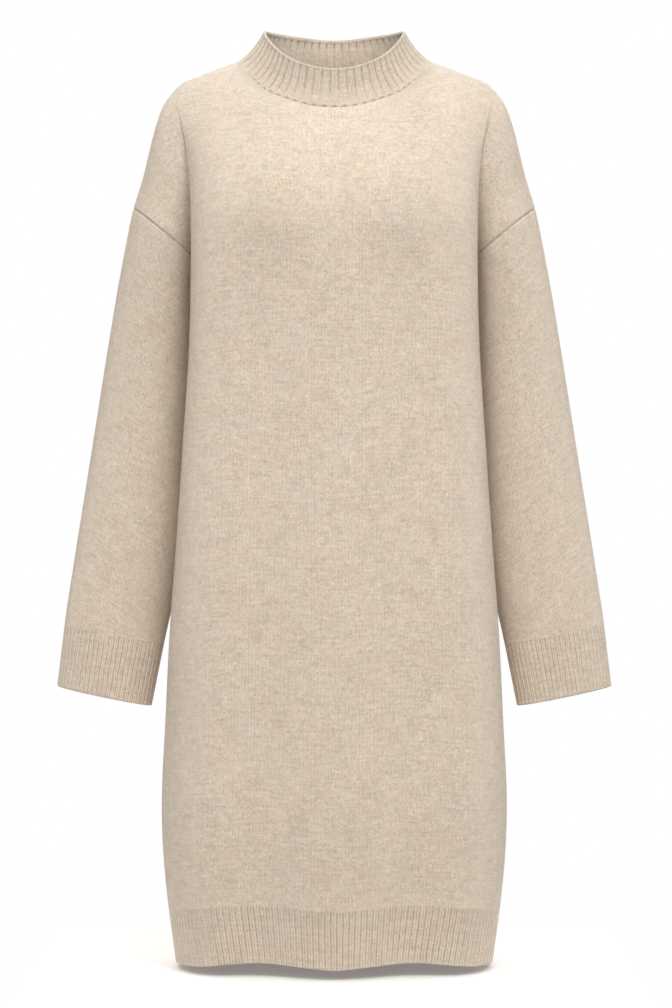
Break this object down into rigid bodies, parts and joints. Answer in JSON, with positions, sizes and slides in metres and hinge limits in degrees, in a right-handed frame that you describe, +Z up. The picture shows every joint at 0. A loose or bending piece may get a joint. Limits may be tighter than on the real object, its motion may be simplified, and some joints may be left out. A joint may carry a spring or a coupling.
{
  "type": "sweater dress",
  "caption": "Knee-length knitted sweater dress with dropped shoulders, long sleeves, a ribbed funnel collar and ribbed cuffs and hem, filled out as when it is worn.",
  "frame": {"origin": "between the shoulders, on the middle of the dress, level with the ends of the neckline, where the wearer's shoulders hold it up", "axes": "+Z up towards the collar, -Y towards the front, +X towards the wearer's left"},
  "size_m": [0.5902, 0.2616, 0.9902],
  "materials": {
    "plain_knit": "soft brushed plain knit, mottled oatmeal yarn",
    "rib_knit": "soft one-by-one rib knit in the same yarn"
  },
  "bodies": {
    "root": {"front": "plain_knit", "back": "plain_knit", "sleeve_left": "plain_knit", "sleeve_right": "plain_knit", "cuff_left": "rib_knit", "cuff_right": "rib_knit", "hem_rib_front": "rib_knit", "hem_rib_back": "rib_knit", "collar": "rib_knit"}
  },
  "joints": []
}
